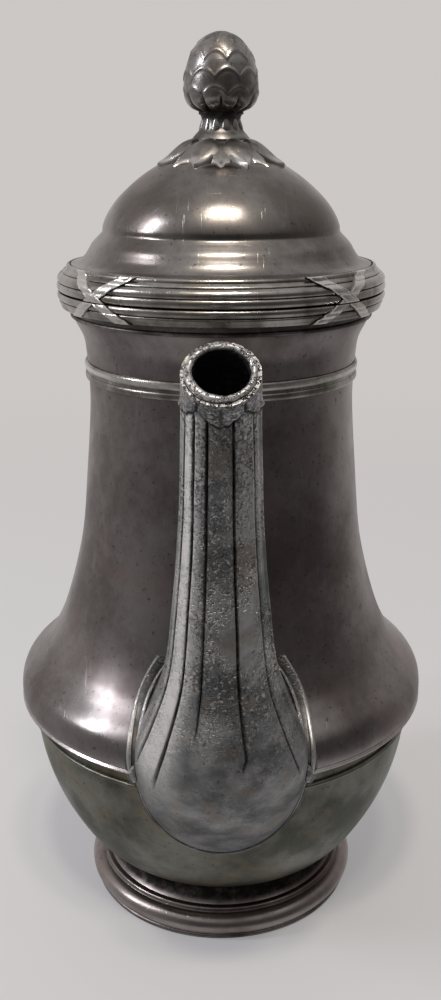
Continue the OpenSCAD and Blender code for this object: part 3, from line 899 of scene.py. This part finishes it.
# Stations: front point and rear point of each section as (y, z), its half-width, and how much
# fuller its front is than its rear, in millimetres. The last one is the round, tilted mouth.
MOUTH, MOUTH_R, MOUTH_TILT = Vector((-89.2, 172.4)), 7.4, radians(40)
MOUTH_SLOPE = Vector((cos(MOUTH_TILT), sin(MOUTH_TILT)))
STATIONS = [
    ((-50, 37), (-38, 98), 21, 0.25), ((-60, 50), (-44, 94), 21, 0.25),
    ((-68.5, 64), (-49.5, 93), 20, 0.22), ((-73.5, 79), (-53.5, 96), 16.8, 0.12),
    ((-77.6, 97), (-57.5, 104), 12.9, 0), ((-81, 115), (-61.5, 118), 10.7, 0),
    ((-84.5, 135), (-66, 138), 8.9, 0), ((-87.5, 153), (-70.8, 157.5), 8.1, 0),
    ((-90.6, 163), (-76.2, 169.8), 7.7, 0),
    (MOUTH - MOUTH_R * MOUTH_SLOPE, MOUTH + MOUTH_R * MOUTH_SLOPE, MOUTH_R, 0)]
RUN = [Vector((*front, *rear, half_w, full)) for front, rear, half_w, full in STATIONS]
SPOUT_END = len(STATIONS) - 1
SPOUT_WALL = 0.0015


def station(s):
    """Front point, rear point, half-width and fullness of the spout's section at s, in metres."""
    i = min(int(s), SPOUT_END - 1)
    q = between(*[RUN[j] for j in (max(i - 1, 0), i, i + 1, min(i + 2, SPOUT_END))], s - i)
    return Vector(q[0:2]) * MM, Vector(q[2:4]) * MM, q[4] * MM, q[5]


def section_point(s, phi, out):
    """Point of the spout's skin at s and angle phi from the front, moved outwards by out."""
    f, r, w, full = station(s)
    mid, half = (f + r) / 2, (f - r).length / 2
    d = (f - r).normalized()
    across = w * (cos(phi) + full * cos(2 * phi))
    n = Vector((half * sin(phi), across)).normalized()
    x = w * sin(phi) * (1 + full * cos(phi)) + out * n.x
    q = mid + d * (half * cos(phi) + out * n.y)
    return Vector((x, q.x, q.y))


BODY_SKIN = (smooth([(0.4, 13.6)] + BOWL, 6) + [Vector((55, 57.5)), Vector((57, 62))]
             + smooth(BELLY, 6))
NECK_R = 0.0356


def body_r(z):
    """Outer radius of the body at height z, in metres."""
    z /= MM
    for a, b in zip(BODY_SKIN, BODY_SKIN[1:]):
        if a.y <= z <= b.y:
            return (a.x + (b.x - a.x) * (z - a.y) / max(b.y - a.y, 1e-6)) * MM
    return NECK_R


def stop_at_body(p, depth):
    """Keeps a point of the spout outside the body's skin, less depth."""
    r = hypot(p.x, p.y)
    limit = body_r(p.z) - depth
    if r < limit and r > 1e-6:
        return Vector((p.x * limit / r, p.y * limit / r, p.z))
    return p


# Incised lines as (angle in degrees, where they end towards the root, depth in mm, hook at the end)
GROOVES = [(-21, 3.35, 0.55, 0), (18.5, 2.7, 0.62, -4), (-44, 1.95, 0.5, 0), (-68, 1.9, 0.5, 0),
           (57, 1.95, 0.5, 0), (-104, 3.2, 0.45, 0), (104, 3.2, 0.45, 0), (-134, 3.4, 0.4, 0),
           (134, 3.4, 0.4, 0), (180, 3.6, 0.4, 0)]
# Where the collar of leaves begins along the spout
COLLAR = 7.92
# The spout's root meets the body before this station
ROOT_LIMIT = 4.5


def spout_detail(s, phi):
    """How far the spout's ornament stands out at s and phi, in metres, and its mark."""
    deg = wrapped(degrees(phi))
    out, mark = 0.0, 0.0
    girth = station(s)[2] / MM * radians(1)
    open_part = 1 - step(COLLAR + 0.05, COLLAR + 0.2, s)
    for angle, end, depth, hook in GROOVES:
        bent = angle + hook * (1 - step(end, end + 0.3, s))
        away = abs(wrapped(deg - bent)) * girth
        fade = step(end - 0.2, end + 0.3, s) * open_part
        line = bump_at(away, 0, 0.44) * fade
        out -= depth * line
        mark = max(mark, min(1.0, 1.5 * line) * min(1.0, depth * 1.9))
        out += 0.12 * bump_at(away, 1.0, 0.6) * fade
    # A raised ridge along each side, painted bright as a highlight, and gentle flutes between the
    # lines
    for side in (-1, 1):
        away = abs(deg - side * 80) * girth
        ridge = bump_at(away, 0, 1.0) * step(1.7, 2.4, s) * open_part
        out += 0.5 * ridge
        mark -= 0.9 * ridge
    flute = cos(radians(deg) * 9) * step(3.2, 4.6, s) * (1 - step(7.6, 8.0, s))
    out -= abs(flute) * 0.10
    # The collar: one leaf in front, two smooth ones at the sides, two behind
    place = deg / 72
    leaf = round(place)
    v = abs(place - leaf) * 2
    edge = COLLAR + 0.40 * v ** 1.6 + 0.02 * sin(deg * 0.45)
    on = step(edge - 0.03, edge + 0.03, s)
    out += 0.42 * on
    mark = max(mark, 0.95 * bump_at(s, edge - 0.05, 0.09))
    below_lip = on * (1 - step(8.6, 8.9, s))
    seam = step(0.9, 0.98, v) * below_lip
    middle = bump_at(v, 0, 0.14) * below_lip * (1 if leaf == 0 else 0.3)
    out -= 0.25 * seam + 0.22 * middle
    if on:
        mark = max(mark - (0.3 if leaf == 0 else 1.0) * on, 0.9 * seam, 0.7 * middle)
    out -= 0.10 * bump_at(s, 8.80, 0.09)
    # The flutes on the left are painted paler as a painted highlight, those in the middle darker as
    # painted shade
    lower = step(1.4, 2.6, s) * open_part * (1 - min(1.0, 4 * max(mark, 0.0)))
    mark += lower * (0.32 * bump_at(deg, 6, 34) - 0.85 * bump_at(deg, -54, 34))
    return out * MM, mark


def root_line(around):
    """The closed line where the spout's skin meets the body's."""
    line = []
    for phi in turns(around):
        low, high = 0.0, ROOT_LIMIT
        for _ in range(30):
            s = (low + high) / 2
            p = section_point(s, phi, 0.0)
            if hypot(p.x, p.y) < body_r(p.z):
                low = s
            else:
                high = s
        line.append(section_point(high, phi, 0.0))
    return line


def spout():
    """The cast spout: fluted skin, mouth rim and passage, stopped at the body's wall."""
    shape = Shape()
    around = 240
    cuts = [i / 26 for i in range(26 * 8)] + [8 + i / 60 for i in range(61)]
    rows, marks = [], []
    for s in cuts:
        row, mark = [], []
        for phi in turns(around):
            # The mark darkens and lightens the skin: dirt in the lines and wear, with painted shade
            # and painted highlights.
            out, marking = spout_detail(s, phi)
            p = section_point(s, phi, out)
            p += Vector((p.x, 0, 0)).normalized() * 0.00008 * value_noise(p, 0.006, 9)
            row.append(stop_at_body(p, 0.0004))
            mark.append(marking)
        rows.append(row)
        marks.append(mark)
    outer = shape.grid(rows, loop_v=True, marks=marks)
    passage = [i / 10 for i in range(10 * SPOUT_END + 1)]
    inside = [[stop_at_body(section_point(s, phi, -SPOUT_WALL), -0.0001) for phi in turns(around)]
              for s in passage]
    inner = shape.grid(inside, loop_v=True, flip=True, marks=[[0.75] * around for s in passage])
    shape.bridge(outer[-1], inner[-1])
    shape.bridge(outer[0], inner[0], flip=True)
    line = root_line(160)
    tube(shape, line, [0.00045] * len(line), around=8, closed=True, mark=0.1)
    return shape


def tube(shape, path, radii, mark, around=12, closed=False):
    """A round tube along a path, its radius given for each point."""
    rows = []
    last = len(path) - 1
    for i, p in enumerate(path):
        ahead = path[(i + 1) % len(path)] if closed else path[min(i + 1, last)]
        behind = path[i - 1] if closed or i else path[0]
        d = (ahead - behind).normalized()
        side = d.cross(Vector((0, 1, 0.01))).normalized()
        up = side.cross(d).normalized()
        rows.append([p + (side * cos(a) + up * sin(a)) * radii[i]
                     for a in turns(around)])
    index = shape.grid(rows, loop_u=closed, loop_v=True, flip=True,
                       marks=[[mark] * around for p in path])
    if not closed:
        shape.cap(index[0])
        shape.cap(index[-1], flip=True)


def spout_lip_wire():
    """The rubbed, uneven wire round the mouth."""
    shape = Shape()
    path, radii = [], []
    for phi in turns(144):
        p = section_point(SPOUT_END, phi, -0.00105)
        p += Vector((0, -MOUTH_SLOPE.y, MOUTH_SLOPE.x)) * 0.0003
        wobble = value_noise(p, 0.005, 11)
        thick_side = max(0.0, -sin(phi) * 0.7 + cos(phi) * 0.5)
        path.append(p + Vector((0, 0, 0.00035 * wobble)))
        radii.append(0.00062 + 0.00015 * wobble + 0.00012 * value_noise(p, 0.0014, 12)
                     + 0.00030 * thick_side)
    tube(shape, path, radii, closed=True, mark=-0.4)
    return shape


def on_body(x, z, out):
    """Point on the body's front skin at x and z, moved outwards by out."""
    r = body_r(z) + out
    return Vector((x, -sqrt(max(r * r - x * x, 1e-8)), z))


def cheek(side):
    """The folded leaf beside the spout's root: outer edge, inner fold, blade and end nub."""
    shape = Shape()
    outer = smooth([(21.8, 60.5), (22.8, 67), (22.2, 75), (19.8, 83), (15.9, 89.8)], 10)
    fold = smooth([(20.6, 66), (20.4, 73), (18.6, 80), (16.0, 85.5), (13.6, 88.8)], 10)
    for run, radius, out in ((outer, 0.0009, 0.0004), (fold, 0.0006, 0.0007)):
        path = [on_body(side * p.x * MM, p.y * MM, out) for p in run]
        n = len(path) - 1
        radii = [radius * (0.55 + 0.45 * sin(pi * min(i / n + 0.25, 1)))
                 for i in range(n + 1)]
        tube(shape, path, radii, around=10, mark=-0.3)
    rows, marks = [], []
    for a, b in zip(outer, smooth([(15, 60), (15, 68), (14, 77), (11.5, 84), (9, 90)], 10)):
        row = []
        for j in range(9):
            q = a.lerp(b, j / 8)
            sink = 0.0009 - 0.0006 * sin(pi * j / 8)
            row.append(on_body(side * q.x * MM, q.y * MM, sink))
        rows.append(row)
        marks.append([0.8 * sin(pi * min(j / 5, 1)) for j in range(9)])
    shape.slab(rows, [[stop_at_body(p * 0.985, 0.0003) for p in row] for row in rows], marks,
               (side < 0, side > 0, side > 0))
    drop(shape, on_body(side * 0.0216, 0.0645, 0.0014), (0.0013, 0.0014, 0.0023),
         radians(6), side * radians(22))
    return shape


# ---------- handle ----------

# Radius of the insulators' spigots and of the sockets' bores, in millimetres
SPIGOT_R = 4.0


def rod_place(node):
    """A turned node's two ends along Y, its radius and its axis's height, all in millimetres."""
    lo, hi = (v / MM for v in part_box(node))
    return lo.y, hi.y, (hi.z - lo.z) / 2, (lo.z + hi.z) / 2


def rod_shape(outline, z):
    """A turned piece whose axis runs along +Y at height z. The outline is (radius, y), all in mm."""
    shape = spun(outline, steps=96)
    shape.verts = [Vector((v.x, v.z, z * MM - v.y)) for v in shape.verts]
    return shape


def moulded_end(r, y, way):
    """Outline of a rod's end at y: a round and a smaller one, going inwards from it."""
    return [(r - 0.5, y), *arc(r - 0.7, y + 0.8 * way, 0.7, -80 * way, 80 * way, 8),
            (r - 1.1, y + 1.8 * way), *arc(r - 1.2, y + 2.4 * way, 0.4, -70 * way, 70 * way, 5)]


def socket_shape(node):
    """Handle socket with a moulded end, its root let into the body."""
    _, y1, r, z = rod_place(node)
    root = body_r(z * MM) / MM - 0.3
    shape = rod_shape([(SPIGOT_R, y1), *moulded_end(r, y1, -1), (r - 1.3, y1 - 3.4),
                       (r - 1.2, root + 1.5), (r - 0.4, root - 1.5), (r - 0.4, root - 6),
                       (SPIGOT_R, root - 6), (SPIGOT_R, y1 - 5), (SPIGOT_R - 0.1, y1 - 5)], z)
    shape.verts = [stop_at_body(v, 0.0004) for v in shape.verts]
    return shape


def cup_shape(node):
    """Cup on the grip's end, with the same moulding, narrowing into the grip."""
    y0, y1, r, z = rod_place(node)
    outline = [(0.01, y0 + 5), (SPIGOT_R, y0 + 5), (SPIGOT_R, y0), *moulded_end(r, y0, 1),
               *smooth([(r - 1.3, y0 + 3.4), (r - 1.5, y0 + 5.5), (r - 2.4, y1)], 5), (0.01, y1)]
    return rod_shape(outline[::-1], z)


def insulator_shape(node):
    """Disc with a rounded edge and a spigot each way."""
    y0, y1, r, z = rod_place(node)
    y, half = (y0 + y1) / 2, 1.45
    near = [(0.01, y0), (SPIGOT_R - 0.3, y0), (SPIGOT_R - 0.1, y0 + 0.3),
            (SPIGOT_R - 0.1, y - half), (r - 0.7, y - half)]
    far = [(a, 2 * y - b) for a, b in reversed(near)]
    outline = [*near, *arc(r - 1.2, y, 1.2, -75, 75, 10), *far]
    return rod_shape(outline[::-1], z)


def grip_line():
    """The grip's centre line as (y, z) in millimetres, between the two cups."""
    _, y0, _, z0 = rod_place("handle_cup_upper")
    _, y1, _, z1 = rod_place("handle_cup_lower")
    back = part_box("handle")[1].y / MM - 4.35
    return [(y0, z0), (y0 + 6, z0 + 1.2), (72, 146.5), (81, 144), (88, 136), (back - 0.2, 122),
            (back, 106), (back - 2, 92), (back - 5.2, 80), (82, 73.6), (y1, z1)]


def handle():
    """Cast grip: oval section with a raised rib down its back and a line each side."""
    shape = Shape()
    line = smooth(grip_line(), 12)
    half_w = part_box("handle")[1].x / MM
    rows, marks = [], []
    last = len(line) - 1
    for i, p in enumerate(line):
        d = (line[min(i + 1, last)] - line[max(i - 1, 0)]).normalized()
        n = Vector((-d.y, d.x))
        t = i / last
        swell = 0.86 + 0.14 * sin(pi * t)
        row, mark = [], []
        for a in turns(64):
            deg = degrees(a)
            rib = 0.28 * bump_at(wrapped(deg - 90), 0, 26)
            lines = sum(bump_at(wrapped(deg - c), 0, 7) for c in (56, 124))
            q = p + n * (4.0 * swell - 0.25 + rib - 0.22 * lines) * sin(a)
            row.append(Vector((half_w * swell * cos(a), q.x, q.y)) * MM)
            mark.append(0.8 * lines)
        rows.append(row)
        marks.append(mark)
    index = shape.grid(rows, loop_v=True, marks=marks)
    shape.cap(index[0], flip=True)
    shape.cap(index[-1])
    return shape


def thumb_leaf():
    """Leaf let into the top of the grip, its tip curled up."""
    shape = Shape()
    line = smooth([(67, 151.0), (72, 151.9), (78, 151.6), (84, 150.2), (88, 151.4), (89.6, 153.4)],
                  8)
    last = len(line) - 1
    top, marks = [], []
    for i, p in enumerate(line):
        t = i / last
        w = 4.3 * sin(pi * (0.08 + 0.9 * t)) ** 0.8 * (1 - 0.12 * abs(sin(9 * t)))
        row, mark = [], []
        for j in range(15):
            v = 2 * j / 14 - 1
            fold = 0.5 * (1 - v * v) + 0.35 * bump_at(v, 0, 0.2) - 0.16 * abs(sin(v * 9))
            row.append(Vector((v * w, p.x, p.y + fold - 0.5)) * MM)
            mark.append(0.5 * (1 - abs(sin(v * 9))) * (1 - bump_at(v, 0, 0.2)))
        top.append(row)
        marks.append(mark)
    shape.slab(top, [[q - Vector((0, 0, 0.0011)) for q in row] for row in top], marks,
               (False, True, False))
    return shape


# ---------- putting it together ----------

def dress(node, slot):
    """Gives a CAD node that stays in view its material."""
    for place in frame["nodes"][node].material_slots:
        place.link = "OBJECT"
        place.material = MATERIALS[slot]


make_studio()

piece("foot_ring_spun", foot_ring(), "silver_foot", "foot_ring")
piece("foot_wire_spun", foot_wire(), "silver_foot", "foot_wire")
bowl = piece("lower_bowl_spun", lower_bowl(), "silver_bowl", "lower_bowl")
drill(bowl, [0.050])
piece("seam_wire_spun", seam_wire(), "silver_bowl", "seam_wire")
body = piece("upper_body_spun", upper_body(), "silver_body", "upper_body")
drill(body, [0.0673, 0.0733])
piece("neck_bead_spun", neck_bead(), "silver_band", "neck_bead")
piece("neck_fillet_spun", neck_fillet(), "silver_band", "neck_fillet")
piece("body_band_reeds", reeds(0, 1, BAND_LOW, BODY_TOP), "silver_band", "body_rim_band")
piece("body_ribbons", ribbon_ties(BAND_LOW, BODY_TOP), "silver_band", "body_ribbon_ties")
piece("lid_dome_spun", lid_dome(), "silver_lid", "lid_dome", body="lid")
piece("lid_band_reeds", reeds(2, 4, LID_LOW, BAND_HIGH), "silver_band", "lid_rim_band", body="lid")
piece("lid_ribbons", ribbon_ties(LID_LOW, BAND_HIGH), "silver_band", "lid_ribbon_ties", body="lid")
piece("lid_bezel_spun", lid_bezel(), "silver_lid", "lid_bezel", body="lid")
piece("rosette_leaves", leaf_rosette(), "silver_finial", "leaf_rosette", body="lid")
piece("bud_finial", finial(), "silver_finial", "finial", body="lid", sharp=50)
piece("spout_cast", spout(), "silver_spout", "spout_left_half", "spout_right_half")
piece("spout_lip", spout_lip_wire(), "silver_spout", "spout_lip_wire")
for side, way in (("left", -1), ("right", 1)):
    piece(f"cheek_leaf_{side}", cheek(way), "silver_spout", f"spout_leaf_{side}")
for end in ("upper", "lower"):
    socket, cup, disc = f"handle_socket_{end}", f"handle_cup_{end}", f"insulator_{end}"
    piece(f"socket_{end}", socket_shape(socket), "silver_handle", socket)
    piece(f"cup_{end}", cup_shape(cup), "silver_handle", cup)
    piece(f"insulator_disc_{end}", insulator_shape(disc), "insulator", disc)
piece("handle_grip", handle(), "silver_handle", "handle")
piece("thumb_leaf", thumb_leaf(), "silver_handle", "handle_thumb_leaf")
dress("handle_pins", "silver_handle")
dress("hinge_body_knuckles", "silver_band")
dress("hinge_lid_knuckle", "silver_band")
for fitting in ("hinge_pin", "finial_washer", "finial_nut"):
    dress(fitting, "brass_fittings")
